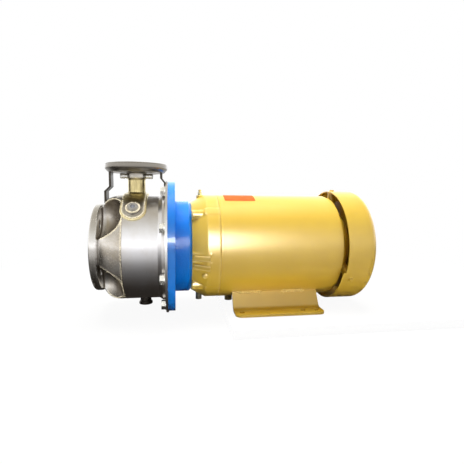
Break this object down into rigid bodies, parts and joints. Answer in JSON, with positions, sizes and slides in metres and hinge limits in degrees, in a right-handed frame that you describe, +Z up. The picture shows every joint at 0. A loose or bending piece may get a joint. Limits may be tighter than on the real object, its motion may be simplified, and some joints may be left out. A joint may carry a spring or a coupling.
{
  "type": "centrifugal pump",
  "caption": "Close-coupled end-suction centrifugal pump with flanged ports, round stainless casing and a foot-mounted electric motor under a fan cover.",
  "frame": {"origin": "centre of the motor's outer foot bolt rectangle, on the underside of the feet", "axes": "+Z up from the feet to the discharge flange, +X along the shaft from the pump to the fan cover, suction flange facing -X"},
  "size_m": [0.5181, 0.2864, 0.2853],
  "materials": {
    "stainless": "polished stainless casing, fine circular grain",
    "stainless_cast": "satin cast stainless flanges and head",
    "blue_paint": "gloss blue enamel over cast iron",
    "gold_paint": "satin gold enamel",
    "zinc": "plated bolts and washers",
    "dark_plug": "dark plugs",
    "brass": "turned brass",
    "steel": "machined steel",
    "lamination": "laminated core",
    "copper": "varnished copper windings",
    "rubber": "moulded rubber",
    "seal_face": "ground ceramic seal face",
    "fan_plastic": "moulded plastic fan"
  },
  "bodies": {
    "frame": {"suction_head": "stainless_cast", "casing_shell": "stainless", "casing_flange": "stainless", "wear_ring": "brass", "discharge_nozzle": "stainless_cast", "gauge_plugs": "zinc", "vent_plug": "dark_plug", "casing_drain_plug": "dark_plug", "discharge_support_front": "stainless", "discharge_support_rear": "stainless", "casing_bolts": "zinc", "casing_washers": "zinc", "adapter": "blue_paint", "adapter_bolts": "zinc", "seal_plate": "stainless", "casing_o_ring": "rubber", "seal_seat": "seal_face", "seat_cup": "rubber", "front_endbell": "gold_paint", "grease_fitting": "brass", "grease_relief_plug": "dark_plug", "shaft_lip_seal": "rubber", "motor_frame": "gold_paint", "stator_core": "lamination", "stator_windings": "copper", "through_bolts": "zinc", "rear_endbell": "gold_paint", "frame_drain_plug": "dark_plug", "fan_cover": "gold_paint", "fan_cover_screws": "gold_paint", "foot_near": "gold_paint", "foot_far": "gold_paint", "foot_welds": "gold_paint", "conduit_box": "gold_paint", "conduit_gasket": "rubber", "conduit_cover": "gold_paint", "conduit_screws": "zinc", "lead_bushing": "rubber", "front_bearing_outer_ring": "steel", "rear_bearing_outer_ring": "steel", "bearing_wave_spring": "steel"},
    "rotor": {"shaft": "steel", "impeller_key": "steel", "impeller": "stainless_cast", "impeller_washer": "steel", "impeller_bolt": "steel", "seal_head": "stainless", "seal_spring": "steel", "slinger": "rubber", "front_bearing_inner_ring": "steel", "rear_bearing_inner_ring": "steel", "rotor_core": "lamination", "fan": "fan_plastic", "fan_clamp": "zinc"},
    "front_ball_set": {"front_bearing_balls": "steel", "front_bearing_cage": "brass"},
    "rear_ball_set": {"rear_bearing_balls": "steel", "rear_bearing_cage": "brass"}
  },
  "joints": [
    {"name": "shaft_spin", "type": "hinge", "parent": "frame", "child": "rotor", "pos_m": [0, 0, 0.1143], "axis": [1, 0, 0], "continuous": true},
    {"name": "front_balls_spin", "type": "hinge", "parent": "frame", "child": "front_ball_set", "pos_m": [-0.14, 0, 0.1143], "axis": [1, 0, 0], "continuous": true},
    {"name": "rear_balls_spin", "type": "hinge", "parent": "frame", "child": "rear_ball_set", "pos_m": [0.132, 0, 0.1143], "axis": [1, 0, 0], "continuous": true}
  ],
  "couplings": [
    {"joint": "front_balls_spin", "follows": "shaft_spin", "ratio": 0.3972},
    {"joint": "rear_balls_spin", "follows": "shaft_spin", "ratio": 0.3961}
  ]
}
